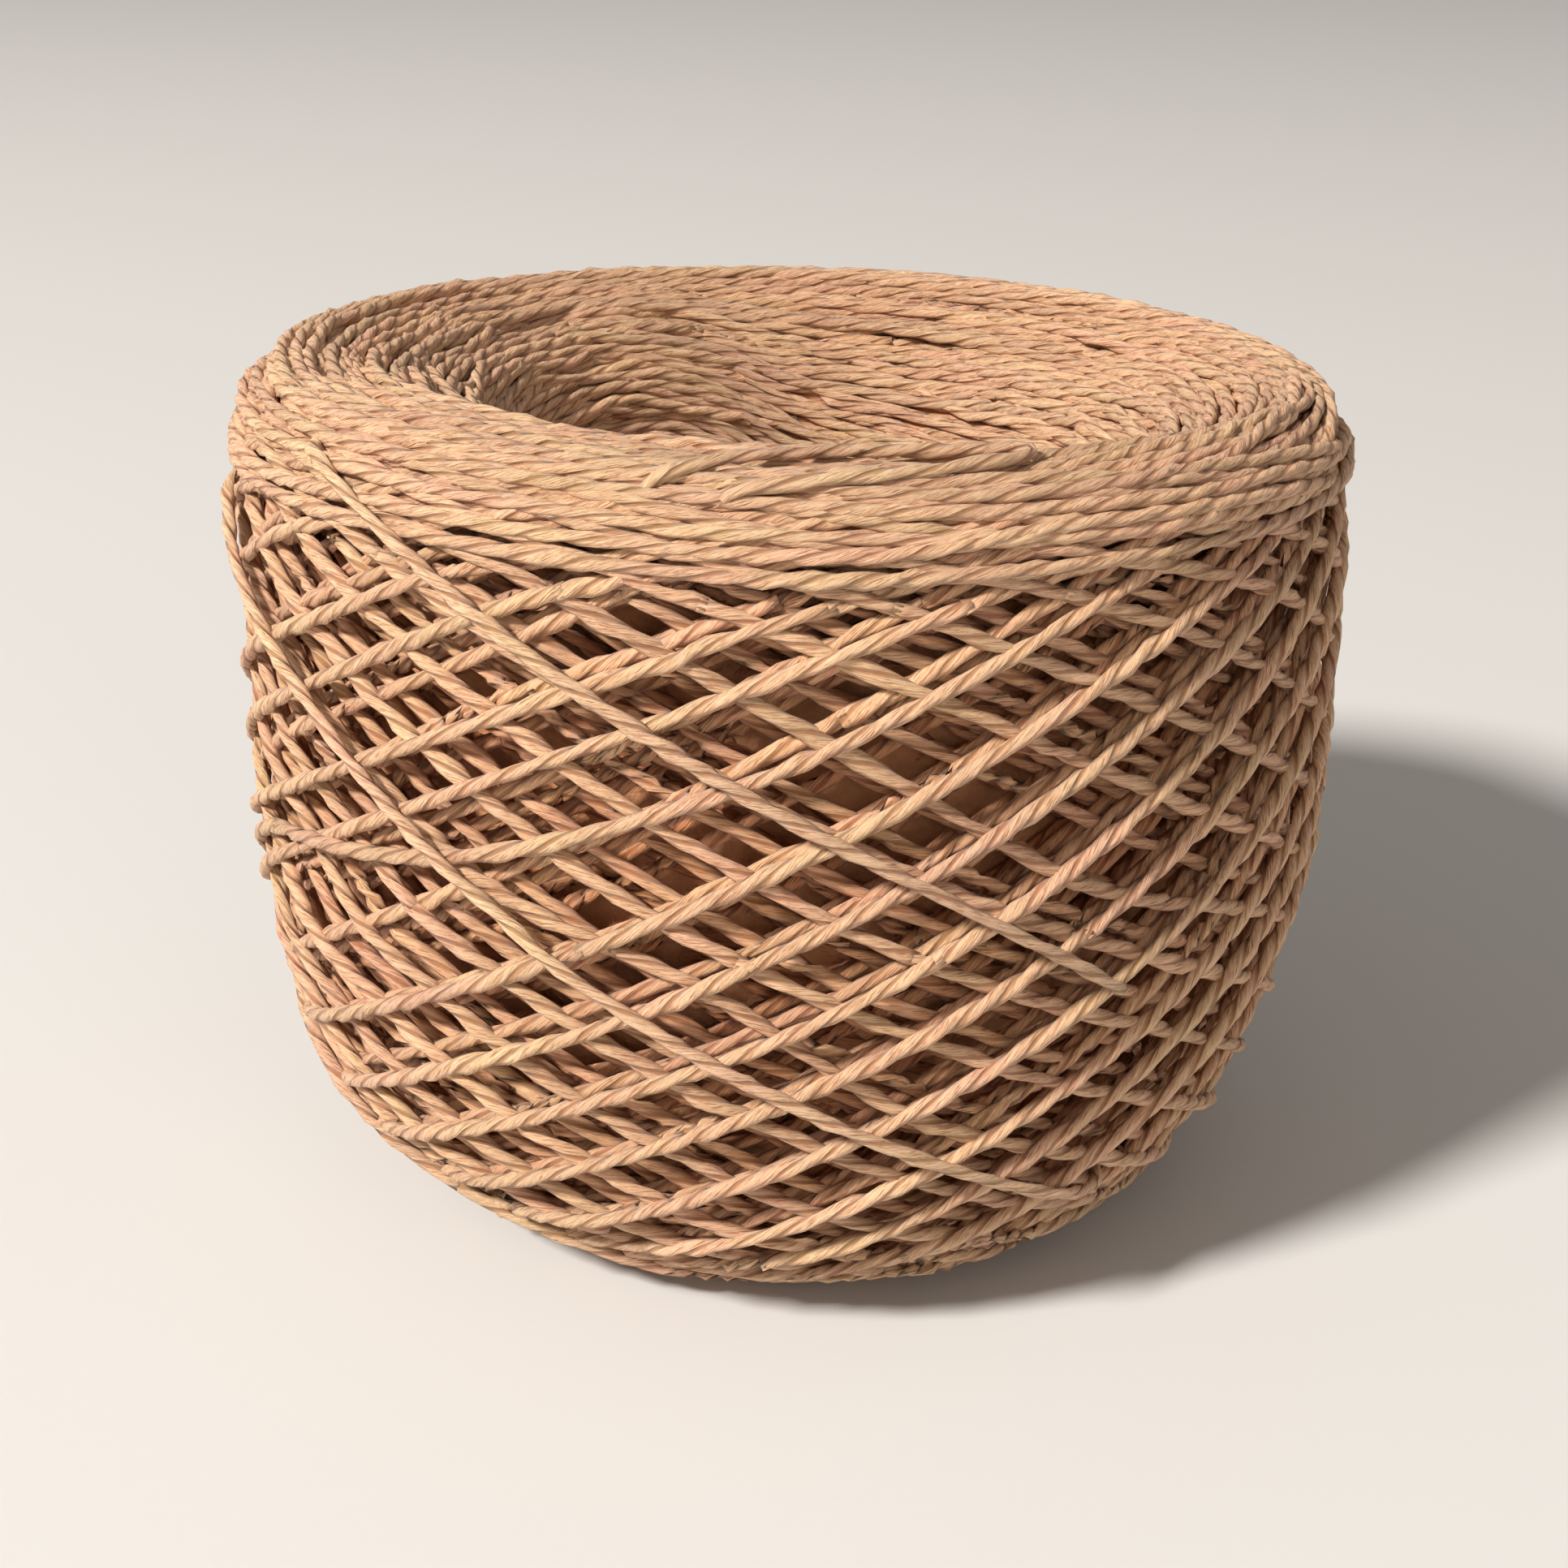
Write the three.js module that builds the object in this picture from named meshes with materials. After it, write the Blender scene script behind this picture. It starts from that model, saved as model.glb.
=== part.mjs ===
// A ball of paper raffia yarn, wound criss-cross round a hollow middle and standing on its end.
// Millimetres, +Z up. The origin is the middle of the bounding box's underside.
import * as THREE from 'three';

const yarn = { color: 0xd9b088 };

// The outline of one half, from the flat foot outwards, up the side, over the rim and down the
// hollow. On the left and in front the hollow has a flat shoulder. The dished columns are for the
// right, where the winding has sunk into it.
const outline = [
  { part: 'foot', radius: 28.0, height: 0.0 },
  { part: 'foot', radius: 37.0, height: 0.0 },
  { part: 'foot', radius: 45.0, height: 0.0 },
  { part: 'side', radius: 51.0, height: 2.2 },
  { part: 'side', radius: 56.0, height: 6.2 },
  { part: 'side', radius: 60.8, height: 11.6 },
  { part: 'side', radius: 65.4, height: 18.6 },
  { part: 'side', radius: 69.6, height: 32.0 },
  { part: 'side', radius: 72.3, height: 52.0 },
  { part: 'side', radius: 72.4, height: 73.0 },
  { part: 'side', radius: 72.2, height: 89.0 },
  { part: 'rim', radius: 71.7, height: 100.5 },
  { part: 'rim', radius: 70.2, height: 107.2 },
  { part: 'rim', radius: 66.8, height: 110.8 },
  { part: 'rim', radius: 61.0, height: 112.0 },
  { part: 'hollow', radius: 53.6, height: 111.6, dishedRadius: 54.4, dishedHeight: 108.0 },
  { part: 'hollow', radius: 46.0, height: 109.6, dishedRadius: 47.6, dishedHeight: 102.4 },
  { part: 'hollow', radius: 39.6, height: 106.4, dishedRadius: 41.8, dishedHeight: 96.0 },
  { part: 'hollow', radius: 35.6, height: 101.0, dishedRadius: 37.6, dishedHeight: 88.0 },
  { part: 'hollow', radius: 33.6, height: 93.0, dishedRadius: 34.4, dishedHeight: 77.0 },
  { part: 'hollow', radius: 31.6, height: 77.0, dishedRadius: 32.0, dishedHeight: 64.0 },
  { part: 'hollow', radius: 29.2, height: 57.0, dishedRadius: 29.4, dishedHeight: 48.0 },
  { part: 'hollow', radius: 26.2, height: 35.0, dishedRadius: 26.2, dishedHeight: 31.0 },
  { part: 'hollow', radius: 23.4, height: 14.0, dishedRadius: 23.4, dishedHeight: 13.0 },
  { part: 'hollow', radius: 23.6, height: 3.4, dishedRadius: 23.6, dishedHeight: 3.4 },
];

// The outer turns: each climbs half way round the ball and comes down the other half.
const turns = {
  columnsApart: 4, // grid columns from one turn to the next
  count: 21,
  lowest: 7.0, // heights where a turn turns back
  highest: 97.0,
  relief: 4.0,
  besideCrown: 0.75, // the share of the relief one column away from a crown
  fadeRows: 11,
};
const columns = turns.columnsApart * turns.count;
const sideSteps = columns / 2; // a turn climbs one row for each column

// The turns that show on the rim and in the hollow sweep round in shallow spirals,
// which the columns of the grid follow there.
const sweep = { columnsApart: 3, columnsPerRow: -3, relief: 1.3, fadeRows: 3 };

const rows = { foot: 2, heel: 2, rim: 4, hollow: 18 };
const footGap = 0.4; // of the table's last row, from the hollow's last grid row to the foot's first

// The winding has slumped: the rim is higher in front and on the left, and its heel has spread.
const slump = {
  tiltX: -0.031, // rise of the rim for each millimetre out along X, and along Y
  tiltY: -0.034,
  leanX: 0.0154,
  heel: { shiftX: 2.4, height: 22, radius: 30, fullRadius: 44 },
  hollow: { shiftX: -1.5, radius: 62, fullRadius: 40, height: 11, fullHeight: 90 },
  dished: { toward: 0.35, from: -0.3, full: 0.8 }, // its middle, in radians from +X, and its cosines
};

// Hollows and bulges round the outside, each a number of waves to a turn.
const unevenness = [
  { waves: 2, height: 0.5, start: 0.6 },
  { waves: 5, height: 0.3, start: 2.1 },
];

const wholeTurn = Math.PI * 2;
const rimHeight = Math.max(...outline.map((point) => point.height));
const remainder = (value, divisor) => ((value % divisor) + divisor) % divisor;
const smooth = (low, high, value) => THREE.MathUtils.smoothstep(value, low, high);

function curveThrough(radiusOf, heightOf) {
  const points = outline.map((point) => new THREE.Vector3(radiusOf(point), 0, heightOf(point)));
  return new THREE.CatmullRomCurve3(points, true, 'catmullrom', 0.5);
}

const plainCurve = curveThrough((point) => point.radius, (point) => point.height);
const dishedCurve = curveThrough(
  (point) => point.dishedRadius ?? point.radius,
  (point) => point.dishedHeight ?? point.height,
);

// The place along the outline's table, in whole and part rows, where the outline first reaches a height.
function stationAtHeight(height) {
  const upper = outline.findIndex((point) => point.height > height);
  let low = upper - 1;
  let high = upper;
  for (let i = 0; i < 30; i += 1) {
    const middle = (low + high) / 2;
    if (plainCurve.getPoint(middle / outline.length).z < height) low = middle;
    else high = middle;
  }
  return low;
}

// The rows of the grid: where each lies on the outline, and which relief it carries.
function gridRows() {
  const list = [];
  const lastFoot = outline.findLastIndex((point) => point.part === 'foot');
  const lastRim = outline.findLastIndex((point) => point.part === 'rim');
  const spread = (from, to, count, kind) => {
    for (let i = 0; i < count; i += 1) list.push({ station: from + ((to - from) * i) / count, kind });
  };
  spread(0, lastFoot, rows.foot, 'foot');
  list.push({ station: lastFoot, kind: 'foot' });
  const low = stationAtHeight(turns.lowest);
  const heelGap = (low - lastFoot) / (rows.heel + 1);
  spread(lastFoot + heelGap, low, rows.heel, 'heel');
  // Up the side the rows follow the rise of a turn, slow where it turns back.
  for (let step = 0; step <= sideSteps; step += 1) {
    const share = (1 - Math.cos((Math.PI * step) / sideSteps)) / 2;
    const height = turns.lowest + (turns.highest - turns.lowest) * share;
    list.push({ station: stationAtHeight(height), kind: 'side', step });
  }
  const high = list[list.length - 1].station;
  const rimGap = (lastRim - high) / (rows.rim + 1);
  spread(high + rimGap, lastRim, rows.rim, 'sweep');
  spread(lastRim, outline.length - footGap, rows.hollow, 'sweep');
  list.filter((row) => row.kind === 'sweep').forEach((row, i, all) => {
    row.step = i + 1;
    row.stepsLeft = all.length - row.step;
  });
  for (const row of list) row.twist = row.kind === 'sweep' ? row.step * sweep.columnsPerRow : 0;
  return list;
}

// How far a turn's crown is from a grid column, counted in columns.
function columnsFrom(value, apart) {
  const left = remainder(value, apart);
  return Math.min(left, apart - left);
}

// How deep the surface lies under the crowns of the turns, at one point of the grid.
function depthOf(row, column) {
  if (row.kind === 'sweep') {
    const fade = smooth(0, sweep.fadeRows, Math.min(row.step, row.stepsLeft));
    return columnsFrom(column, sweep.columnsApart) > 0 ? sweep.relief * fade : 0;
  }
  if (row.kind !== 'side') return 0;
  const climbing = columnsFrom(column - row.step, turns.columnsApart);
  const falling = columnsFrom(column + row.step, turns.columnsApart);
  const fade = smooth(1, turns.fadeRows, row.step) * smooth(1, turns.fadeRows, sideSteps - row.step);
  return turns.relief * fade * [0, turns.besideCrown, 1][Math.min(climbing, falling)];
}

// Leans and tilts the ball, and makes it as uneven as the winding is.
function slumped(point, angle, kind) {
  const { heel, hollow } = slump;
  const radius = Math.hypot(point.x, point.y);
  const height = point.z;
  if (kind !== 'foot') {
    const bulge = unevenness.reduce((sum, row) => sum + row.height * Math.sin(row.waves * angle + row.start), 0);
    point.x += (bulge * point.x) / radius;
    point.y += (bulge * point.y) / radius;
  }
  const inward = 1 - smooth(hollow.fullRadius, hollow.radius, radius);
  const atHeel = 1 - smooth(0, heel.height, height);
  point.z += (height / rimHeight) ** 2 * (slump.tiltX * point.x + slump.tiltY * point.y);
  point.x += slump.leanX * height;
  point.x += heel.shiftX * atHeel * smooth(heel.radius, heel.fullRadius, radius);
  point.x += hollow.shiftX * inward * smooth(hollow.height, hollow.fullHeight, height);
  return point;
}

function gridPoint(row, column) {
  const share = row.station / outline.length;
  const angle = (wholeTurn * (column + row.twist)) / columns;
  const dish = smooth(slump.dished.from, slump.dished.full, Math.cos(angle - slump.dished.toward));
  const place = plainCurve.getPoint(share).lerp(dishedCurve.getPoint(share), dish);
  const along = plainCurve.getTangent(share).lerp(dishedCurve.getTangent(share), dish).normalize();
  if (row.kind === 'foot') place.z = 0;
  const depth = depthOf(row, column);
  const radius = place.x - along.z * depth;
  const point = new THREE.Vector3(
    radius * Math.cos(angle),
    radius * Math.sin(angle),
    place.z + along.x * depth,
  );
  return slumped(point, angle, row.kind);
}

function woundBall() {
  const list = gridRows();
  const positions = [];
  for (const row of list) {
    for (let i = 0; i < columns; i += 1) positions.push(...gridPoint(row, i).toArray());
  }
  const indices = [];
  list.forEach((row, k) => {
    const last = k === list.length - 1;
    const next = last ? 0 : k + 1;
    const shift = last ? row.twist : 0; // the last row's columns meet the foot's after their twist
    for (let i = 0; i < columns; i += 1) {
      const a = k * columns + i;
      const b = k * columns + remainder(i + 1, columns);
      const c = next * columns + remainder(i + 1 + shift, columns);
      const d = next * columns + remainder(i + shift, columns);
      // A quad is cut along the turn that crosses it, so that the turn's crown stays whole.
      const falls = row.kind === 'side' && remainder(i + 1 + row.step, turns.columnsApart) === 0;
      if (falls) indices.push(a, b, d, b, c, d);
      else indices.push(a, b, c, a, c, d);
    }
  });
  const geometry = new THREE.BufferGeometry();
  geometry.setAttribute('position', new THREE.Float32BufferAttribute(positions, 3));
  geometry.setIndex(indices);
  geometry.computeBoundingBox();
  const middle = geometry.boundingBox.getCenter(new THREE.Vector3());
  geometry.translate(-middle.x, -middle.y, 0);
  geometry.computeVertexNormals();
  return geometry;
}

const paper = new THREE.MeshStandardMaterial({ color: yarn.color, roughness: 0.72, metalness: 0 });
const ball = new THREE.Mesh(woundBall(), paper);
ball.name = 'yarn_ball';

const model = new THREE.Group();
model.add(ball);
export default model;
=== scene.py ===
import math
import bpy
import bmesh
import numpy as np
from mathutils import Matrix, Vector


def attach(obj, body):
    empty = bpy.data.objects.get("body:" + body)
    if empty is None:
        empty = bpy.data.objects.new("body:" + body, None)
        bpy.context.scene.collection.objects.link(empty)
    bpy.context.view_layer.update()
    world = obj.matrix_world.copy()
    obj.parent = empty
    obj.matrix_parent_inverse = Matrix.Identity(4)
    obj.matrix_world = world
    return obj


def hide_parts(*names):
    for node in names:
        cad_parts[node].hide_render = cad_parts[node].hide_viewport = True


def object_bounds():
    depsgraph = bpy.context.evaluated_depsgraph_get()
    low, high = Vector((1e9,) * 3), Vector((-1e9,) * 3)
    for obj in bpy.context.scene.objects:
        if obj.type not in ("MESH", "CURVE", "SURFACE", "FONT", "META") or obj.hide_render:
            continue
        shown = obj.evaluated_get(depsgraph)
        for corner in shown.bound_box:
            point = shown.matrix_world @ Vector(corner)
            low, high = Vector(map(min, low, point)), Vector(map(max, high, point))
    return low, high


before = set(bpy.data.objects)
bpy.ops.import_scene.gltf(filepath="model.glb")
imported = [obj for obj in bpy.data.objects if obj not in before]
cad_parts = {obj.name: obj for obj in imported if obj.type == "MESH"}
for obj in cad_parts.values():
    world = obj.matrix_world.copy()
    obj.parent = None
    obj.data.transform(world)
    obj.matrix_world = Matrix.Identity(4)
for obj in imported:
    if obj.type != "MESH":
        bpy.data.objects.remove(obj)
cadLow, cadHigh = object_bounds()
turn = math.tau
mm = 0.001

# A ball of two-ply paper yarn. One long yarn is wound turn by turn as a machine winds it, laid over
# itself on a grid of heights, and made where it shows.
# All of that is worked out in millimetres and turned to metres in onBall. "run" is the way along the
# ball's outline from the inner edge of the foot: out along the foot, up the side, over the rim and
# down the hollow. "bearing" is the angle round the ball from +X.

# The ball's form

outline = [  # the same outline as the solid's, with the sunken right side in the dished columns
    dict(part="foot", radius=28.0, height=0.0),
    dict(part="foot", radius=37.0, height=0.0),
    dict(part="foot", radius=45.0, height=0.0),
    dict(part="side", radius=51.0, height=2.2),
    dict(part="side", radius=56.0, height=6.2),
    dict(part="side", radius=60.8, height=11.6),
    dict(part="side", radius=65.4, height=18.6),
    dict(part="side", radius=69.6, height=32.0),
    dict(part="side", radius=72.3, height=52.0),
    dict(part="side", radius=72.4, height=73.0),
    dict(part="side", radius=72.2, height=89.0),
    dict(part="rim", radius=71.7, height=100.5),
    dict(part="rim", radius=70.2, height=107.2),
    dict(part="rim", radius=66.8, height=110.8),
    dict(part="rim", radius=61.0, height=112.0),
    dict(part="hollow", radius=53.6, height=111.6, dishedRadius=54.4, dishedHeight=108.0),
    dict(part="hollow", radius=46.0, height=109.6, dishedRadius=47.6, dishedHeight=102.4),
    dict(part="hollow", radius=39.6, height=106.4, dishedRadius=41.8, dishedHeight=96.0),
    dict(part="hollow", radius=35.6, height=101.0, dishedRadius=37.6, dishedHeight=88.0),
    dict(part="hollow", radius=33.6, height=93.0, dishedRadius=34.4, dishedHeight=77.0),
    dict(part="hollow", radius=31.6, height=77.0, dishedRadius=32.0, dishedHeight=64.0),
    dict(part="hollow", radius=29.2, height=57.0, dishedRadius=29.4, dishedHeight=48.0),
    dict(part="hollow", radius=26.2, height=35.0, dishedRadius=26.2, dishedHeight=31.0),
    dict(part="hollow", radius=23.4, height=14.0, dishedRadius=23.4, dishedHeight=13.0),
    dict(part="hollow", radius=23.6, height=3.4, dishedRadius=23.6, dishedHeight=3.4),
]

slump = {
    "tiltX": -0.031,  # rise of the rim for each millimetre out along X, and along Y
    "tiltY": -0.034,
    "leanX": 0.0154,
    "heel": {"shiftX": 2.4, "height": 22, "radius": 30, "fullRadius": 44},
    "hollow": {"shiftX": -1.5, "radius": 62, "fullRadius": 40, "height": 11, "fullHeight": 90},
    "dished": {"toward": 0.35, "start": -0.3, "full": 0.8},
    "bulges": [dict(waves=2, height=0.5, start=0.6), dict(waves=5, height=0.3, start=2.1)],
    "bulgeStart": 6,  # how far past the foot they are at their full height
}

finePlaces = 3001  # along the outline
fadePlaces = 600  # along a slope that fades out
formGrid = (300, 361)  # runs and bearings at which the form is measured
nudge = {"run": 0.8, "bearing": 0.01}  # each way from a place, to find the way out of the surface


def smooth(low, high, value):
    share = np.clip((value - low) / (high - low), 0, 1)
    return share * share * (3 - 2 * share)


def roundCurve(values, stations):
    # a closed curve through evenly spaced values, with rounded joins
    count = len(values)
    at = np.floor(stations).astype(int)
    t = stations - at
    a, b, c, d = (values[(at + k) % count] for k in (-1, 0, 1, 2))
    return 0.5 * (2 * b + (c - a) * t + (2 * a - 5 * b + 4 * c - d) * t**2 + (3 * b - a - 3 * c + d) * t**3)


stations = np.linspace(0, len(outline), finePlaces)
plainRadius = roundCurve(np.array([row["radius"] for row in outline]), stations)
plainHeight = roundCurve(np.array([row["height"] for row in outline]), stations)
dishedRadius = roundCurve(np.array([row.get("dishedRadius", row["radius"]) for row in outline]), stations)
dishedHeight = roundCurve(np.array([row.get("dishedHeight", row["height"]) for row in outline]), stations)
lastRow = {part: max(i for i, row in enumerate(outline) if row["part"] == part) for part in ("foot", "rim")}
plainHeight[stations <= lastRow["foot"]] = 0
runs = np.concatenate([[0], np.cumsum(np.hypot(np.diff(plainRadius), np.diff(plainHeight)))])
fullRun = runs[-1]
runFoot = float(np.interp(lastRow["foot"], stations, runs))
runRim = float(np.interp(lastRow["rim"], stations, runs))
rimHeight = max(row["height"] for row in outline)


def runAtHeight(height):
    # the first place up the outside that reaches a height
    return float(runs[np.argmax(plainHeight >= height)])


def formOf(run, bearing):
    # a point on the ball's surface, leant and slumped as the solid is, before it is centred
    run = np.mod(run, fullRun)
    dished = slump["dished"]
    dish = smooth(dished["start"], dished["full"], np.cos(bearing - dished["toward"]))
    radius = (1 - dish) * np.interp(run, runs, plainRadius) + dish * np.interp(run, runs, dishedRadius)
    height = (1 - dish) * np.interp(run, runs, plainHeight) + dish * np.interp(run, runs, dishedHeight)
    bulge = sum(row["height"] * np.sin(row["waves"] * bearing + row["start"]) for row in slump["bulges"])
    radius = radius + bulge * smooth(runFoot, runFoot + slump["bulgeStart"], run)
    x = radius * np.cos(bearing)
    y = radius * np.sin(bearing)
    z = height + (height / rimHeight) ** 2 * (slump["tiltX"] * x + slump["tiltY"] * y)
    heel, hollow = slump["heel"], slump["hollow"]
    atHeel = 1 - smooth(0, heel["height"], height)
    inward = 1 - smooth(hollow["fullRadius"], hollow["radius"], radius)
    x = x + slump["leanX"] * height
    x = x + heel["shiftX"] * atHeel * smooth(heel["radius"], heel["fullRadius"], radius)
    x = x + hollow["shiftX"] * inward * smooth(hollow["height"], hollow["fullHeight"], height)
    return np.stack([x, y, z], axis=-1)


def middleOfForm():
    run, bearing = np.meshgrid(np.linspace(0, fullRun, formGrid[0]), np.linspace(0, turn, formGrid[1]))
    points = formOf(run, bearing).reshape(-1, 3)
    middle = (points.min(axis=0) + points.max(axis=0)) / 2
    return np.array([middle[0], middle[1], 0.0])


middle = middleOfForm()


def onBall(run, bearing, depth):
    # a place below the surface, in metres
    here = formOf(run, bearing)
    upward = formOf(run + nudge["run"], bearing) - formOf(run - nudge["run"], bearing)
    sideways = formOf(run, bearing + nudge["bearing"]) - formOf(run, bearing - nudge["bearing"])
    outward = np.cross(sideways, upward)
    outward /= np.linalg.norm(outward, axis=-1, keepdims=True)
    return (here - middle - outward * np.asarray(depth)[..., None]) * mm


# The winding

gridCount = 520  # places in a turn
gridEdge = 24  # how far the grid of heights goes past both ends of the run

yarn = {
    "thickness": 2.1,
    "lay": 12.5,  # length of one twist of the plies
    "plyShare": 0.84,  # how thin the pair of plies is across, against along
    "flat": 0.9,  # how far the paper is pressed flat
    "thickNoise": 0.09,
    "twistNoise": 0.95,
    "crumple": 0.085,  # how far the paper is crumpled in and out, as a share of its thickness
    "onFloor": 0.47,  # how high the lowest turns' middle stays, as a share of the thickness
}
half = yarn["thickness"] / 2

spirals = {  # the turns round the foot and down the hollow, which only wave a little
    "foot": dict(first=1.0, last=runFoot + 14, advance=0.6, wave=3.0),
    "hollow": dict(first=fullRun - 3, last=runRim + 52, advance=-0.5, wave=2.8),
    "ring": dict(first=runRim + 52, last=runRim + 6, advance=-0.4, wave=6.0),
    "turnOn": 1.23,  # turns from one wave to the next
    "wander": 0.8,
    "wandersEachTurn": 4.2,
}

winding = {
    "perLayer": 22.18,  # times up and down for each way round, and two turns for each time
    "times": 144,
    "lastApex": math.radians(255),
    "ring": runRim + 12,  # where the yarn turns back at the top, from the first time to the last
    "shoulder": runRim - 2,
    "frontDrop": (3, 14),  # how much lower it turns back in front, at first and at the end
    "footFirst": runFoot - 4,  # and where it turns back at the bottom
    "footLast": runFoot + 10,
    "slope": 36.5,  # on the side, in mm for each radian
    "middle": runAtHeight(58),  # where a turn is on the side at an angle from where it turns back
    "middleAngle": 4.4,
    "angleDrift": 0.027,  # less of that angle with each layer, so the rising turns lie on each other
    "intoTop": ([-30, -6.4, 33, 87], [1, 0.39, 0.11, 0]),  # how the slope fades towards a turning
    "intoFoot": ([-22, -4, 14], [0, 0.25, 1]),
    "round": 12,  # places that a turning is rounded over
    "wander": (3.2, 0.8),  # in the first turns and in the last
    "wanderAge": (0.3, 0.9),
    "wandersEachTurn": 3.2,
    "seed": 4,
}

slipped = [  # late turns that hang slack: turns before the last, middle, width each way, how far down
    dict(back=18, toward=math.radians(200), width=0.6, down=-17.0),
    dict(back=11, toward=math.radians(236), width=0.30, down=-3.0),
    dict(back=24, toward=math.radians(300), width=0.35, down=4.0),
    dict(back=33, toward=math.radians(262), width=0.26, down=-3.5),
    dict(back=38, toward=math.radians(60), width=0.40, down=5.0),
    dict(back=47, toward=math.radians(140), width=0.35, down=-4.0),
]


def softNoise(rng, count, knotEvery, spread):
    # smooth random values along the yarn
    knots = rng.normal(0, 1, int(count / knotEvery) + 3)
    places = np.arange(count) / knotEvery
    low = np.floor(places).astype(int)
    share = smooth(0, 1, places - low)
    return spread * (knots[low] * (1 - share) + knots[low + 1] * share)


def fadeFrom(away, knots, side):
    # a straight slope that fades out towards a turning; away is how far it would be from there
    places = np.array(knots[0]) * side
    shares = np.array(knots[1])
    order = np.argsort(places)
    places, shares = places[order], shares[order]
    fine = np.linspace(places[0], places[-1], fadePlaces)
    share = np.interp(fine, places, shares)
    total = np.concatenate([[0], np.cumsum((share[1:] + share[:-1]) / 2 * np.diff(fine))])
    return np.where(away > fine[-1], total[-1] + away - fine[-1], np.interp(away, fine, total))


def along(values, reach, kind):
    # the highest or the mean of the neighbours along the yarn
    padded = np.pad(values, [(reach, reach)] + [(0, 0)] * (values.ndim - 1), mode="edge")
    view = np.lib.stride_tricks.sliding_window_view(padded, 2 * reach + 1, axis=0)
    return view.max(axis=-1) if kind == "high" else view.mean(axis=-1)


def eased(values, reach):
    return along(along(values, reach, "mean"), reach, "mean")


def bridged(values, reach):
    return along(along(values, reach, "high"), reach, "mean")


def spiralYarn(rng, spec, startBearing):
    # turn after turn along the outline, each with one slow wave
    turns = abs((spec["last"] - spec["first"]) / spec["advance"])
    angle = np.arange(int(turns * gridCount)) * turn / gridCount
    run = spec["first"] + spec["advance"] * angle / turn
    run = run + spec["wave"] * np.cos(angle / spirals["turnOn"]) * smooth(0, turn, angle)
    run = run + softNoise(rng, len(angle), gridCount / spirals["wandersEachTurn"], spirals["wander"])
    return run, startBearing + angle


def sideYarn(rng):
    # up and down between foot and shoulder, slow round the turnings and steady on the side
    w = winding
    cycle = 2 * turn + turn / w["perLayer"]
    times = w["times"]
    count = int(times * cycle / turn * gridCount)
    angle = np.arange(count) * turn / gridCount
    number = angle / cycle
    phase = (number - np.floor(number) - 0.5) * cycle
    bearing = angle + w["lastApex"] - (angle[-1] - 0.5 * cycle)
    age = number / times
    inFront = np.maximum(0, np.cos(bearing - phase + math.pi / 2))
    top = w["ring"] + (w["shoulder"] - w["ring"]) * age
    top = top - inFront * (w["frontDrop"][0] + (w["frontDrop"][1] - w["frontDrop"][0]) * age)
    bottom = w["footFirst"] + (w["footLast"] - w["footFirst"]) * age
    middleAngle = w["middleAngle"] + w["angleDrift"] * (times - number) / w["perLayer"]
    run = w["middle"] - w["slope"] * (np.abs(phase) - middleAngle)
    run = top - fadeFrom(top - run, w["intoTop"], -1)
    run = bottom + fadeFrom(run - bottom, w["intoFoot"], 1)
    run = eased(run, w["round"])
    wander = softNoise(rng, count, gridCount / w["wandersEachTurn"], 1)
    run = run + wander * np.interp(age, w["wanderAge"], w["wander"])
    for row in slipped:
        passed = (bearing[-1] - row["toward"]) // turn * turn + row["toward"] - row["back"] * turn
        run = run - row["down"] * np.exp(-((bearing - passed) / row["width"]) ** 2)
    return run, bearing


def windYarn():
    # one long yarn from the first turn to the last, worked out from its end backwards
    rng = np.random.default_rng(winding["seed"])
    parts = [sideYarn(rng)]
    for name in ("ring", "hollow", "foot"):
        run, bearing = spiralYarn(rng, spirals[name], 0)
        parts.insert(0, (run, bearing + parts[0][1][0] - bearing[-1] - turn / gridCount))
    run = np.concatenate([part[0] for part in parts])
    bearing = np.concatenate([part[1] for part in parts])
    toHollow, _, toSide = np.cumsum([len(part[0]) for part in parts])[:-1]
    whole = np.ones(len(run), dtype=bool)
    for place in (toHollow, toSide):
        whole[place - 2:place + 2] = False  # the yarn jumps here, so it is cut
    print("winding:", round(len(run) / gridCount), "turns")
    return run, bearing, whole


# Laying the turns over each other

laying = {
    "flatten": 0.5,  # how much of its thickness a turn adds where it crosses another
    "stiff": 5,  # places that a turn bridges to each side
    "slide": 1.5,  # how far a turn slips sideways into a hollow, and what that costs
    "slideCost": 0.2,
    "sideCost": 0.5,
    "sideStart": (runFoot + 16, runFoot + 30),
    "sideEnd": (runRim - 34, runRim - 22),
    "costReach": 7,  # places that the cost and then the slip are evened over
    "slideEase": 9,
    "cell": 0.5,
    "levelEvery": 22,  # turns
    "levelReach": (8, 5),
    "levelBlur": (8, 6),
}

crowded = {  # how thick a turn is where many lie side by side
    "runs": [runFoot - 2, runFoot + 18, runAtHeight(88), runRim - 12, runRim + 4, fullRun],
    "shares": [0.86, 1.0, 1.0, 0.92, 0.86, 0.86],
}

squeeze = {  # how much of the laid depth is left, because crowded turns are pressed flat
    "runs": [runFoot - 6, runFoot + 20, runAtHeight(84), runRim - 14, fullRun],
    "shares": [0.55, 1.0, 1.0, 0.4, 0.24],
}


def rowsOf(run):
    return np.round((run + gridEdge) / laying["cell"]).astype(int)


def columnsOf(bearing):
    return np.mod(np.round(bearing / turn * gridCount).astype(int), gridCount)


def around(values, reach, axis, kind):
    # the highest or the mean of the neighbours on the grid
    out = values.copy()
    for k in range(1, reach + 1):
        for way in (k, -k):
            moved = np.roll(values, way, axis)
            out = np.maximum(out, moved) if kind == "high" else out + moved
    return out if kind == "high" else out / (2 * reach + 1)


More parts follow.
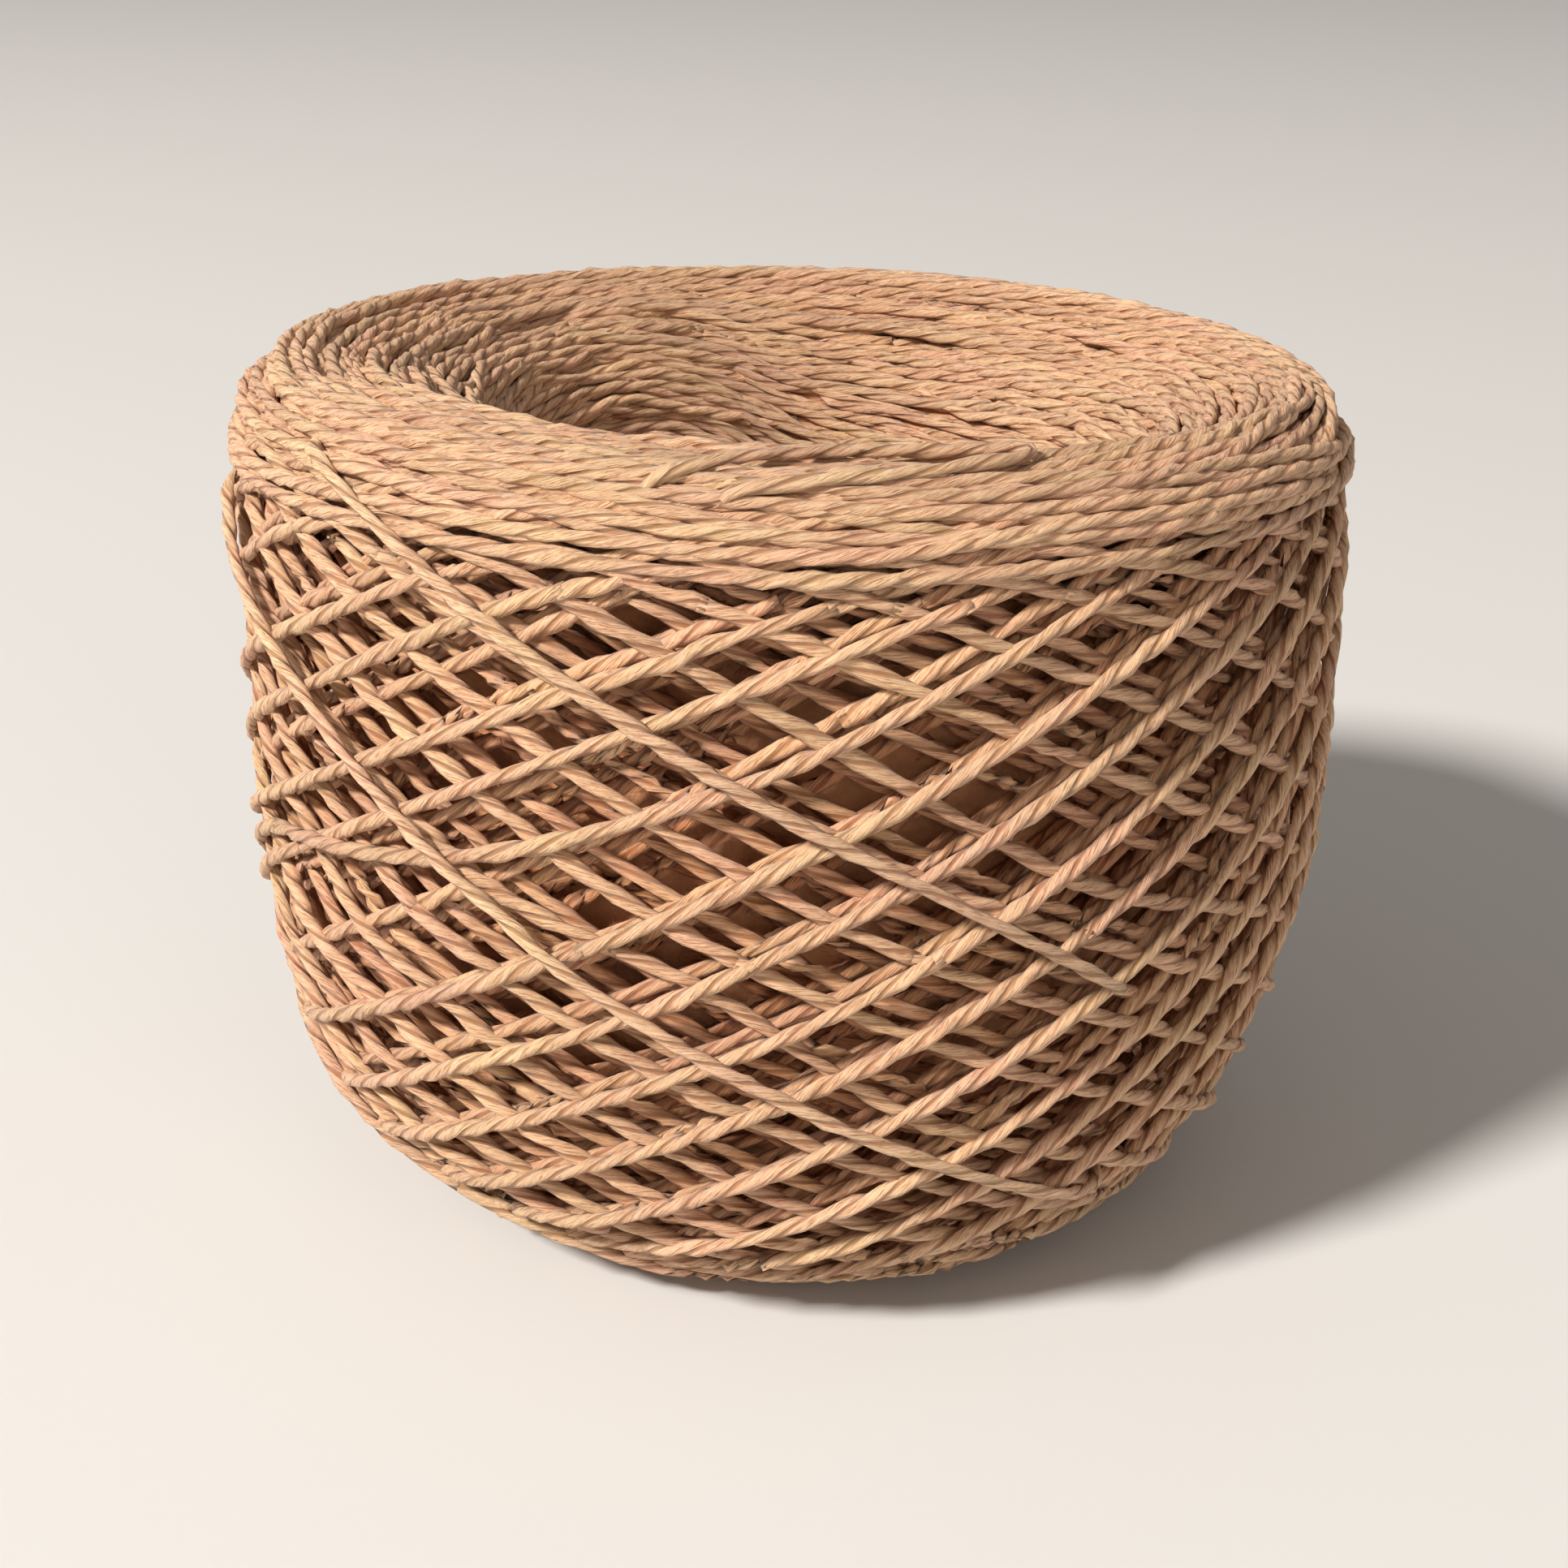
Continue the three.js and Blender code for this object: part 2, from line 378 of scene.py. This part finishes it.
def overGrid(values, reach, kind):
    return around(around(values, reach[0], 0, kind), reach[1], 1, kind)


def levelOf(height):
    level = overGrid(height, laying["levelReach"], "high")
    for _ in range(2):
        level = overGrid(level, laying["levelBlur"], "mean")
    return level


def slipOf(height, run, cols, rise, offsets):
    # how far each place of the yarn would slip sideways into a hollow beside it
    cell, reach = laying["cell"], offsets[-1]
    side = int(laying["slide"] / cell)
    shifts = np.arange(-side, side + 1)
    beside = np.arange(-side - reach, side + reach + 1)
    near = height[rowsOf(run)[:, None] + beside[None, :], cols[:, None]]
    seats = [(near[:, side + s:side + s + len(offsets)] + rise).max(axis=1) for s in shifts]
    onSide = smooth(*laying["sideStart"], run) * (1 - smooth(*laying["sideEnd"], run))
    price = laying["slideCost"] + (laying["sideCost"] - laying["slideCost"]) * onSide
    slideCost = price[:, None] * (shifts * cell) ** 2
    cost = along(np.stack(seats, axis=1), laying["costReach"], "mean") + slideCost
    return shifts[cost.argmin(axis=1)] * cell


def layYarn(run, column):
    # lays the yarn half a turn at a time: it slips into a hollow beside it, bridges small gaps and
    # raises the grid. The level is taken out now and then, because the form of the ball is given
    cell, stiff, ease = laying["cell"], laying["stiff"], laying["slideEase"]
    reach = int(half / cell)
    offsets = np.arange(-reach, reach + 1)
    across = (offsets * cell)[None, :]
    height = np.zeros((int(math.ceil((fullRun + 2 * gridEdge) / cell)), gridCount))
    lifted = np.zeros_like(height)
    run = run.copy()
    centre = np.zeros(len(run))
    tail = np.zeros(0)
    tailShift = np.zeros(0)
    lastLevel = 0
    for start in range(0, len(run), gridCount // 2):
        end = min(len(run), start + gridCount // 2)
        keep = end - start
        ahead = min(len(run), end + stiff * 2)
        cols = column[start:ahead]
        wide = half * np.interp(run[start:ahead], crowded["runs"], crowded["shares"])[:, None]
        rise = wide * laying["flatten"] * np.sqrt(np.maximum(0, 1 - (across / wide) ** 2))
        shift = np.concatenate([tailShift, slipOf(height, run[start:ahead], cols, rise, offsets)])
        moved = eased(shift, ease)[len(tailShift):]
        rows = rowsOf(run[start:ahead] + moved)
        support = (height[rows[:, None] + offsets[None, :], cols[:, None]] + rise).max(axis=1)
        here = bridged(np.concatenate([tail, support]), stiff)[len(tail):len(tail) + keep]
        shift = shift[len(tailShift):]
        run[start:end] += moved[:keep]
        rows, cols = rows[:keep], cols[:keep]
        centre[start:end] = here + lifted[rows, cols]
        for k, lift in zip(offsets, rise[:keep].T):
            height[rows + k, cols] = np.maximum(height[rows + k, cols], here + lift)
        tail = support[:keep][-2 * stiff:]
        tailShift = shift[:keep][-2 * ease:]
        if start - lastLevel > laying["levelEvery"] * gridCount:
            level = levelOf(height)
            height -= level
            lifted += level
            lastLevel = start
            tail = tail - level[rows[-2 * stiff:], cols[-2 * stiff:]]
    level = levelOf(height)
    rows = rowsOf(run)
    return run, (lifted + level)[rows, column] - centre, level - height, rows


def pressDown(depth, gap, rows):
    shares = np.interp(np.arange(len(gap)) * laying["cell"] - gridEdge, squeeze["runs"], squeeze["shares"])
    gap = gap * shares[:, None]
    print("laid: the deepest gap is", round(gap.max(), 1), "mm")
    return depth * shares[rows], gap


# Yarn along a path

drifts = {  # random changes along the yarn, with a new value every so many mm
    "twist": dict(seed=3, every=12),
    "thick": dict(seed=6, every=9),
    "tone": dict(seed=9, every=160),
    "crumple": dict(seed=12, every=4, rows=4),
}
wholeLength = 300000  # mm, more than the yarn has


def driftValues(name):
    row = drifts[name]
    rng = np.random.default_rng(row["seed"])
    count = wholeLength // row["every"]
    if name == "tone":
        return rng.uniform(0, 1, (1, count))
    values = rng.normal(0, 1, (row.get("rows", 1), count))
    return np.cumsum(values, axis=1) if name == "twist" else values


driftRows = {name: driftValues(name) for name in drifts}


def driftAt(name, lengths):
    values = driftRows[name]
    at = lengths / drifts[name]["every"]
    return np.stack([np.interp(at, np.arange(values.shape[1]), row) for row in values], axis=1)


def addObject(name, data):
    ob = bpy.data.objects.new(name, data)
    bpy.context.collection.objects.link(ob)
    return ob


def addPiece(name, mesh, material):
    mesh.shade_smooth()
    mesh.materials.clear()
    mesh.materials.append(material)
    ob = addObject(name, mesh)
    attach(ob, "root")
    return ob


def yarnSection(name, angles):
    # the two plies side by side, as the outline that a turn is drawn with
    curve = bpy.data.curves.new(name, "CURVE")
    curve.dimensions = "2D"
    spline = curve.splines.new("POLY")
    spline.points.add(len(angles) - 1)
    for point, angle in zip(spline.points, angles):
        waist = yarn["plyShare"] + (1 - yarn["plyShare"]) * math.cos(angle) ** 2
        x = half * waist * math.cos(angle)
        y = half * waist * math.sin(angle) * yarn["flat"]
        point.co = (x * mm, y * mm, 0, 1)
    spline.use_cyclic_u = True
    return addObject(name, curve)


def evenSteps(path, step):
    lengths = path["lengths"]
    count = max(3, int((lengths[-1] - lengths[0]) / (step * mm)) + 1)
    places = np.linspace(lengths[0], lengths[-1], count)
    columns = (*path["points"].T, path["thick"], path["deep"])
    even = [np.interp(places, lengths, values) for values in columns]
    return np.stack(even[:3], axis=1), places / mm, even[3], even[4]


def addSpline(curve, places, lengths, thick):
    # the twist of the plies is the spline's tilt
    spline = curve.splines.new("POLY")
    spline.points.add(len(places) - 1)
    spline.points.foreach_set("co", np.concatenate([places, np.ones((len(places), 1))], axis=1).ravel())
    twist = -turn * lengths / yarn["lay"] + yarn["twistNoise"] * driftAt("twist", lengths)[:, 0]
    spline.points.foreach_set("tilt", twist)
    thick = thick * (1 + yarn["thickNoise"] * driftAt("thick", lengths)[:, 0])
    spline.points.foreach_set("radius", thick)
    spline.use_smooth = True


def addAttribute(mesh, name, kind, field, values):
    attribute = mesh.attributes.new(name, kind, "POINT")
    attribute.data.foreach_set(field, values.astype(np.float32).ravel())


def crumpleMesh(mesh, centres, lengths, angles):
    # moves each place in or out from the middle of its turn
    dents = np.stack([np.cos(2 * angles), np.sin(2 * angles), np.cos(3 * angles), np.sin(3 * angles)])
    amount = yarn["crumple"] * (driftAt("crumple", lengths) @ dents).ravel()
    spots = np.empty(len(centres) * 3)
    mesh.vertices.foreach_get("co", spots)
    spots = centres + (spots.reshape(-1, 3) - centres) * (1 + amount)[:, None]
    mesh.vertices.foreach_set("co", spots.ravel())


def closeEnds(mesh, sides):
    bm = bmesh.new()
    bm.from_mesh(mesh)
    bmesh.ops.holes_fill(bm, edges=[edge for edge in bm.edges if edge.is_boundary], sides=sides)
    bmesh.ops.recalc_face_normals(bm, faces=bm.faces)
    bm.to_mesh(mesh)
    bm.free()


def makeYarn(name, paths, plan, material):
    # each path has places in metres and their lengths along the yarn, and becomes twisted yarn
    sides = plan["sides"]
    angles = turn * (np.arange(sides) + 0.5) / sides
    curve = bpy.data.curves.new(name + "Path", "CURVE")
    curve.dimensions = "3D"
    curve.bevel_mode = "OBJECT"
    curve.bevel_object = yarnSection(name + "Section", angles)
    curve.use_fill_caps = False
    stepped = [evenSteps(path, plan["step"]) for path in paths]
    for places, lengths, thick, _ in stepped:
        addSpline(curve, places, lengths, thick)
    pathOb = addObject(name + "Path", curve)
    bpy.context.view_layer.update()
    mesh = bpy.data.meshes.new_from_object(pathOb.evaluated_get(bpy.context.evaluated_depsgraph_get()))
    mesh.name = name
    places, lengths, deep = (np.concatenate([row[k] for row in stepped]) for k in (0, 1, 3))
    if len(places) * sides != len(mesh.vertices):
        raise RuntimeError(f"{name}: {len(places)} places, {len(mesh.vertices)} vertices")
    onSection = np.tile(np.stack([np.cos(angles), np.sin(angles)], axis=1), (len(places), 1))
    place = np.concatenate([onSection, np.repeat(lengths, sides)[:, None]], axis=1)
    addAttribute(mesh, "yarnPlace", "FLOAT_VECTOR", "vector", place)
    addAttribute(mesh, "yarnTone", "FLOAT", "value", np.repeat(driftAt("tone", lengths)[:, 0], sides))
    # the share of painted depth shade at each place, for the yarn material
    addAttribute(mesh, "yarnDepthShade", "FLOAT", "value", np.repeat(deep, sides))
    crumpleMesh(mesh, np.repeat(places, sides, axis=0), lengths, angles)
    bpy.data.objects.remove(curve.bevel_object)
    bpy.data.objects.remove(pathOb)
    closeEnds(mesh, sides)
    addPiece(name, mesh, material)
    triangles = sum(len(face.vertices) - 2 for face in mesh.polygons)
    length = sum(path["lengths"][-1] - path["lengths"][0] for path in paths)
    print(f"{name}: {len(paths)} lengths, {length:.1f} m, {triangles} triangles")


# Finishes

paper = {
    # the crease colours run from painted shade in the creases (dark) to painted highlight on their ridges
    # (light), over the paper's own light and dark streaks
    "light": (0.87, 0.59, 0.365, 1),
    "middle": (0.73, 0.435, 0.242, 1),
    "dark": (0.40, 0.18, 0.08, 1),
    # painted shade where the two plies meet
    "shadedGroove": (0.45, 0.215, 0.095, 1),
    "deep": (0.88, 0.54, 0.32, 1),  # painted shade for deep in the winding, warm like light bounced between turns; colours are multiplied towards it
    "creaseStretch": (3.4, 3.4, 0.2),  # the first two round the yarn, the last along it
    "creaseScale": 2.4,
    "creaseBands": (0.38, 0.46, 0.58),  # where the creases are dark, middle and light: painted shade in the creases, painted highlight on their ridges, over the paper's own streaks
    "creaseDepth": 0.9,
    "grooveWidth": (0.05, 0.46),
    "toneSpread": 37.0,  # how far apart the creases of two stretches are
    "brightness": (0.86, 1.08),
    "blushScale": 0.035,
    "blushRange": (0.3, 0.7),
    "hue": (0.489, 0.508),
    "relief": 0.45,
    "roughness": 0.62,
    "sheen": 0.15,
    "sheenRoughness": 0.4,
}

# the older winding's colours are the yarn's, darkened and reddened as painted shade of the deep gaps
# between the turns
shadedUnderPaper = {
    "dark": (0.34, 0.13, 0.05, 1),
    "light": (0.66, 0.33, 0.16, 1),
    "scale": 420,
    "relief": 1.2,
    "roughness": 0.8,
}


def newMaterial(name):
    mat = bpy.data.materials.new(name)
    mat.use_nodes = True
    return mat, mat.node_tree, mat.node_tree.nodes["Principled BSDF"]


def feed(tree, socket, value):
    # a socket gets a fixed value, or the output of another node
    if isinstance(value, bpy.types.NodeSocket):
        tree.links.new(value, socket)
    else:
        socket.default_value = value


def addNode(tree, kind, inputs, **settings):
    node = tree.nodes.new("ShaderNode" + kind)
    for name, value in settings.items():
        setattr(node, name, value)
    for name, value in inputs.items():
        feed(tree, node.inputs[name], value)
    return node


def addShades(tree, factor, shades):
    # a colour ramp with a place and a colour for each shade
    ramp = addNode(tree, "ValToRGB", {"Fac": factor})
    first, *between, last = shades
    for element, shade in zip(ramp.color_ramp.elements, (first, last)):
        element.position, element.color = shade
    for position, color in between:
        ramp.color_ramp.elements.new(position).color = color
    return ramp.outputs["Color"]


def paperYarn():
    # creases along the yarn with painted shade in them and painted highlight on their ridges, painted shade
    # in the groove where the plies meet, painted shade deeper in the winding, and slow changes of tone
    mat, tree, shader = newMaterial("paperYarn")
    place = addNode(tree, "Attribute", {}, attribute_name="yarnPlace").outputs["Vector"]
    tone = addNode(tree, "Attribute", {}, attribute_name="yarnTone").outputs["Fac"]
    # the share of painted depth shade at each place
    depth = addNode(tree, "Attribute", {}, attribute_name="yarnDepthShade").outputs["Fac"]
    split = addNode(tree, "SeparateXYZ", {"Vector": place})

    stretched = addNode(tree, "Mapping", {"Vector": place, "Scale": paper["creaseStretch"]})
    ownCreases = addNode(tree, "Math", {0: tone, 1: paper["toneSpread"]}, operation="MULTIPLY")
    creaseInputs = {"Vector": stretched.outputs["Vector"], "W": ownCreases.outputs["Value"],
                    "Scale": paper["creaseScale"], "Detail": 4, "Roughness": 0.6}
    creases = addNode(tree, "TexNoise", creaseInputs, noise_dimensions="4D").outputs["Fac"]

    # painted shade in the groove between the plies: away from it the crease colours show; the same mask
    # also sinks the groove in the bump
    waist = addNode(tree, "Math", {0: split.outputs["X"]}, operation="ABSOLUTE")
    low, high = paper["grooveWidth"]
    shadedGroove = addNode(tree, "MapRange", {"Value": waist.outputs["Value"], "From Min": low, "From Max": high},
                     interpolation_type="SMOOTHSTEP").outputs["Result"]
    colors = (paper["dark"], paper["middle"], paper["light"])
    shades = addShades(tree, creases, zip(paper["creaseBands"], colors))
    plies = addNode(tree, "Mix", {"Factor": shadedGroove, "A": paper["shadedGroove"], "B": shades}, data_type="RGBA")

    low, high = paper["brightness"]
    lift = addNode(tree, "MapRange", {"Value": tone, "To Min": low, "To Max": high})
    blush = addNode(tree, "TexNoise", {"W": split.outputs["Z"], "Scale": paper["blushScale"], "Detail": 2},
                    noise_dimensions="1D")
    low, high = paper["blushRange"]
    hue = addNode(tree, "MapRange", {"Value": blush.outputs["Fac"], "From Min": low, "From Max": high,
                                     "To Min": paper["hue"][0], "To Max": paper["hue"][1]})
    varied = addNode(tree, "HueSaturation", {"Hue": hue.outputs["Result"], "Value": lift.outputs["Result"],
                                             "Color": plies.outputs["Result"]})
    # painted depth shade: the deeper a turn lies, the more its colour is multiplied towards the depth shade
    # colour
    shaded = addNode(tree, "Mix", {"Factor": depth, "A": varied.outputs["Color"], "B": paper["deep"]},
                     data_type="RGBA", blend_type="MULTIPLY")
    feed(tree, shader.inputs["Base Color"], shaded.outputs["Result"])

    height = addNode(tree, "Math", {0: creases, 1: paper["creaseDepth"], 2: shadedGroove},
                     operation="MULTIPLY_ADD")
    bump = addNode(tree, "Bump", {"Height": height.outputs["Value"], "Distance": paper["relief"] * mm})
    feed(tree, shader.inputs["Normal"], bump.outputs["Normal"])
    feed(tree, shader.inputs["Roughness"], paper["roughness"])
    feed(tree, shader.inputs["Sheen Weight"], paper["sheen"])
    feed(tree, shader.inputs["Sheen Roughness"], paper["sheenRoughness"])
    return mat


# painted shade: the older winding under the turns is coloured darker than the yarn, lighter where its bumps
# stand up
def shadedUnderWinding():
    mat, tree, shader = newMaterial("shadedUnderWinding")
    coords = addNode(tree, "TexCoord", {})
    noiseInputs = {"Vector": coords.outputs["Object"], "Scale": shadedUnderPaper["scale"], "Detail": 3}
    noise = addNode(tree, "TexNoise", noiseInputs).outputs["Fac"]
    shades = addShades(tree, noise, [(0, shadedUnderPaper["dark"]), (1, shadedUnderPaper["light"])])
    bump = addNode(tree, "Bump", {"Height": noise, "Distance": shadedUnderPaper["relief"] * mm})
    feed(tree, shader.inputs["Base Color"], shades)
    feed(tree, shader.inputs["Normal"], bump.outputs["Normal"])
    feed(tree, shader.inputs["Roughness"], shadedUnderPaper["roughness"])
    return mat


# The older winding under the turns that show

core = {
    "steps": 120,
    "rounds": 150,
    "reach": (10, 7),  # how far round a gap it keeps below
    "blur": (8, 6),
    "below": 0.8,
    "least": 2.2,
    "most": 10.5,
}


def makeCore(gap, material):
    # turned from the outline and then laid just below the deepest gaps
    coreGap = overGrid(overGrid(gap, core["reach"], "high"), core["blur"], "mean") + core["below"]
    coreGap = np.clip(coreGap, core["least"], core["most"])
    bm = bmesh.new()
    runLayer = bm.verts.layers.float.new("run")
    profile = []
    for run in np.linspace(0, fullRun, core["rounds"], endpoint=False):
        radius = float(np.interp(run, runs, plainRadius))
        vert = bm.verts.new((radius, 0, float(np.interp(run, runs, plainHeight))))
        vert[runLayer] = run
        profile.append(vert)
    edges = [bm.edges.new(pair) for pair in zip(profile, profile[1:] + profile[:1])]
    bmesh.ops.spin(bm, geom=profile + edges, cent=(0, 0, 0), axis=(0, 0, 1), dvec=(0, 0, 0),
                   angle=turn, steps=core["steps"], use_merge=True, use_duplicate=False)
    run = np.array([vert[runLayer] for vert in bm.verts])
    bearing = np.array([math.atan2(vert.co.y, vert.co.x) for vert in bm.verts])
    spots = onBall(run, bearing, coreGap[rowsOf(run), columnsOf(bearing)])
    for vert, spot in zip(bm.verts, spots):
        vert.co = spot
    bmesh.ops.recalc_face_normals(bm, faces=bm.faces)
    mesh = bpy.data.meshes.new("woundCore")
    bm.to_mesh(mesh)
    bm.free()
    ob = addPiece("woundCore", mesh, material)
    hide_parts("yarn_ball")
    print("woundCore:", len(mesh.polygons), "faces")
    return coreGap


# The turns that show

zoneEnds = {  # the run where each zone of the ball ends
    "foot": runFoot + 20,
    "lowerSide": runAtHeight(58),
    "upperSide": runRim - 20,
    "shoulder": runRim + 18,
    "ring": runRim + 62,
    "hollow": math.inf,
}

showing = {
    "under": 0.6,  # how far below the nearest gap a turn is still made
    "reach": (9, 6),
    "widen": 9,  # places that a stretch is made longer by at each end, and then shorter
    "narrow": 4,
    "least": 3,  # places in the shortest stretch
    "near": 2.3,  # turns nearer the surface than this are made finely
    "depthEase": 9,
    "fullShadeDepth": 10,  # how deep a turn lies where it gets the full painted depth shade
    "fine": dict(sides=8, step=1.75),
    "plain": dict(sides=6, step=2.6),
    "allPlain": ("foot", "hollow"),
}


def placesThatShow(depth, gap, coreGap, rows, column, whole):
    nearGap = overGrid(gap, showing["reach"], "high")[rows, column]
    top = depth - half
    shown = (top < nearGap + showing["under"]) & (top < coreGap[rows, column]) & whole
    shown = along(shown.astype(float), showing["widen"], "high") > 0.5
    return along((~shown).astype(float), showing["narrow"], "high") < 0.5


def stretches(shown):
    # the first and last places of each stretch that shows, and one more at each end
    edges = np.flatnonzero(np.diff(np.concatenate([[0], shown.astype(int), [0]])))
    pairs = [(a, b) for a, b in zip(edges[::2], edges[1::2]) if b - a >= showing["least"]]
    return [slice(max(0, a - 1), min(len(shown), b + 1)) for a, b in pairs]


def makeTurns(run, bearing, depth, shown, material):
    thick = np.interp(run, crowded["runs"], crowded["shares"])
    points = onBall(run, bearing, depth + half * thick * (1 - laying["flatten"]))
    points[:, 2] = np.maximum(points[:, 2], yarn["onFloor"] * yarn["thickness"] * mm)
    lengths = np.concatenate([[0], np.cumsum(np.linalg.norm(np.diff(points, axis=0), axis=1))])
    easedDepth = eased(depth, showing["depthEase"])
    # how much painted depth shade each place gets, from how deep it lies
    deep = np.clip(easedDepth / showing["fullShadeDepth"], 0, 1)
    places = {"points": points, "lengths": lengths, "thick": thick, "deep": deep}
    start = -math.inf
    for zone, end in zoneEnds.items():
        inside = shown & (run >= start) & (run < end)
        near = (easedDepth < showing["near"]) & (zone not in showing["allPlain"])
        for plan, mine in (("fine", near), ("plain", ~near)):
            parts = stretches(inside & mine)
            paths = [{key: values[part] for key, values in places.items()} for part in parts]
            name = zone + ("Turns" if plan == "fine" else "TurnsUnder")
            if paths:
                makeYarn(name, paths, showing[plan], material)
        start = end


# Lengths that came off and lie over the others

loose = {
    "step": 0.6,
    "thick": 0.88,
    "ease": 6,
    "reach": (2, 1),
    "proud": 0.25,  # how far the middle stands over the others, as a share of the thickness
    "tuck": (10.0, 5.0),  # how long their ends are, and how deep these go under the others
    "apart": 0.7,  # m of yarn between them
    "lengths": [  # bearing in degrees and run in mm
        [(214, 138), (222, 135), (231, 130), (242, 122.5), (255, 114), (281, 96), (296, 84), (308, 73)],
        [(188, 128), (203, 118), (220, 107), (236, 94.5), (249, 84), (274, 66), (298, 49), (314, 40)],
        [(252, 136), (262, 142), (273, 149), (285, 150), (293, 149), (296.5, 146.5), (293, 143.5),
         (284, 141.5), (272, 140), (258, 136.5)],
    ],
}


def looseLength(through, gap):
    bearingKnots = np.radians([knot[0] for knot in through])
    runKnots = np.array([knot[1] for knot in through], dtype=float)
    ballRadius = 0.5 * (cadHigh[0] - cadLow[0]) / mm
    legs = np.hypot(np.diff(bearingKnots) * ballRadius, np.diff(runKnots))
    knotsAt = np.concatenate([[0], np.cumsum(legs)])
    places = np.arange(0, knotsAt[-1], loose["step"])
    bearing = eased(np.interp(places, knotsAt, bearingKnots), loose["ease"])
    run = eased(np.interp(places, knotsAt, runKnots), loose["ease"])
    nearest = overGrid(-gap, loose["reach"], "high")[rowsOf(run), columnsOf(bearing)]
    fromEnd = np.minimum(places, places[-1] - places)
    tucked = loose["tuck"][1] * (1 - smooth(0, loose["tuck"][0], fromEnd))
    depth = tucked - bridged(nearest, loose["ease"]) - loose["proud"] * yarn["thickness"]
    points = onBall(run, bearing, depth)
    lengths = np.concatenate([[0], np.cumsum(np.linalg.norm(np.diff(points, axis=0), axis=1))])
    return {"points": points, "lengths": lengths, "thick": np.full(len(run), loose["thick"]),
            # loose lengths lie on top and get no painted depth shade
            "deep": np.zeros(len(run))}


def makeLoose(gap, material):
    paths = [looseLength(through, gap) for through in loose["lengths"]]
    for number, path in enumerate(paths):
        path["lengths"] = path["lengths"] + number * loose["apart"]
    makeYarn("looseTurns", paths, showing["fine"], material)


# Floor, light and camera

floor = {"size": 2.5, "color": (0.62, 0.61, 0.595, 1), "roughness": 0.7}

lights = {
    "key": dict(place=(-2.45, -1.92, 2.8), size=0.65, power=278, color=(1.0, 0.965, 0.92)),
    "fill": dict(place=(0.9, -1.9, 0.9), size=1.6, power=9.0, color=(1.0, 0.9, 0.8)),
}
lightAim = Vector((0, 0, 0.055))
world = {"color": (1.0, 0.94, 0.88), "strength": 0.30}

camera = {
    "away": 307.5,  # mm in front of the ball's middle
    "height": 181.6,
    "aside": -0.85,
    "tiltDown": 23.1,
    "focalPixels": 2963,
    "framePixels": 1932,
    "sensor": 36,
}


def makeFloor():
    bm = bmesh.new()
    bmesh.ops.create_grid(bm, x_segments=2, y_segments=2, size=floor["size"])
    mesh = bpy.data.meshes.new("floor")
    bm.to_mesh(mesh)
    bm.free()
    mat, tree, shader = newMaterial("floorPaint")
    feed(tree, shader.inputs["Base Color"], floor["color"])
    feed(tree, shader.inputs["Roughness"], floor["roughness"])
    mesh.materials.append(mat)
    addObject("floor", mesh)


def makeLights():
    for name, row in lights.items():
        data = bpy.data.lights.new(name, "AREA")
        data.shape = "DISK"
        data.size = row["size"]
        data.energy = row["power"]
        data.color = row["color"]
        ob = addObject(name, data)
        ob.location = row["place"]
        ob.rotation_euler = (lightAim - ob.location).to_track_quat("-Z", "Y").to_euler()
    sky = bpy.data.worlds.new("studio")
    sky.use_nodes = True
    background = sky.node_tree.nodes["Background"]
    background.inputs["Color"].default_value = (*world["color"], 1)
    background.inputs["Strength"].default_value = world["strength"]
    bpy.context.scene.world = sky


def makeCamera():
    data = bpy.data.cameras.new("camera")
    data.sensor_width = camera["sensor"]
    data.sensor_fit = "HORIZONTAL"
    data.lens = camera["sensor"] * camera["focalPixels"] / camera["framePixels"]
    data.clip_start = 0.01
    ob = addObject("camera", data)
    ob.location = (camera["aside"] * mm, -camera["away"] * mm, camera["height"] * mm)
    ob.rotation_euler = (math.radians(90 - camera["tiltDown"]), 0, 0)
    bpy.context.scene.camera = ob


# Build

def build():
    run, bearing, whole = windYarn()
    column = columnsOf(bearing)
    run, depth, gap, rows = layYarn(run, column)
    depth, gap = pressDown(depth, gap, rows)
    paperMaterial = paperYarn()
    coreGap = makeCore(gap, shadedUnderWinding())
    shown = placesThatShow(depth, gap, coreGap, rows, column, whole)
    makeTurns(run, bearing, depth, shown, paperMaterial)
    makeLoose(gap, paperMaterial)
    makeFloor()
    makeLights()
    makeCamera()
    bpy.context.scene.view_settings.view_transform = "Standard"
    print("floor, lights and camera are in place")


build()
